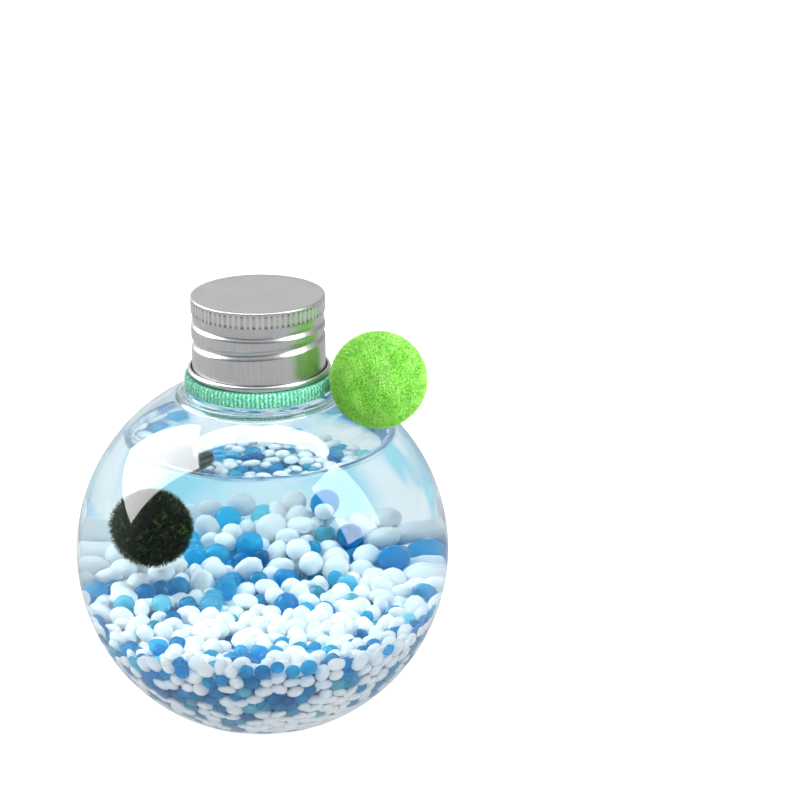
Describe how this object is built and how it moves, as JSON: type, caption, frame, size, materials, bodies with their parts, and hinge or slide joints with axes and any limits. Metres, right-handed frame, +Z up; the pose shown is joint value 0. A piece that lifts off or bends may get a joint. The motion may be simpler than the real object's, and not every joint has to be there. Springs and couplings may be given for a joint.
{
  "type": "marimo moss ball in a jar",
  "caption": "Marimo moss ball on a bed of white pebbles and blue beads in a round clear jar of water, with an aluminium screw cap and a pom-pom on an elastic band.",
  "frame": {"origin": "centre of the jar's foot, on the surface that it stands on", "axes": "+Z up along the jar's axis, -Y towards the front, +X towards the pom-pom's side"},
  "size_m": [0.08, 0.08, 0.0926],
  "materials": {
    "clear_plastic": "clear, polished, 0.9 mm wall",
    "aluminium": "fine brushed, rolled edges bright",
    "liner_foam": "matt closed-cell foam",
    "mint_elastic": "ribbed knitted elastic",
    "pompom_fibre": "dense short cut pile",
    "water": "clear water",
    "white_pebble": "tumbled smooth, satin",
    "blue_bead": "clear blue glass, glossy",
    "moss": "dense fine filaments"
  },
  "bodies": {
    "jar": {"jar": "clear_plastic", "neck_band": "mint_elastic", "pompom": "pompom_fibre", "water": "water", "bead_bed": "white_pebble", "moss_ball": "moss"},
    "liner": {"cap_liner": "liner_foam"},
    "cap": {"screw_cap": "aluminium"}
  },
  "joints": [
    {"name": "cap_lift", "type": "slide", "parent": "jar", "child": "liner", "axis": [0, 0, 1], "range_m": [0, 0.00631]},
    {"name": "cap_turn", "type": "hinge", "parent": "liner", "child": "cap", "pos_m": [0, 0, 0.0846], "axis": [0, 0, 1], "range_deg": [0, 540]}
  ],
  "couplings": [
    {"joint": "cap_lift", "follows": "cap_turn", "m_per_rad": 0.00066845}
  ]
}
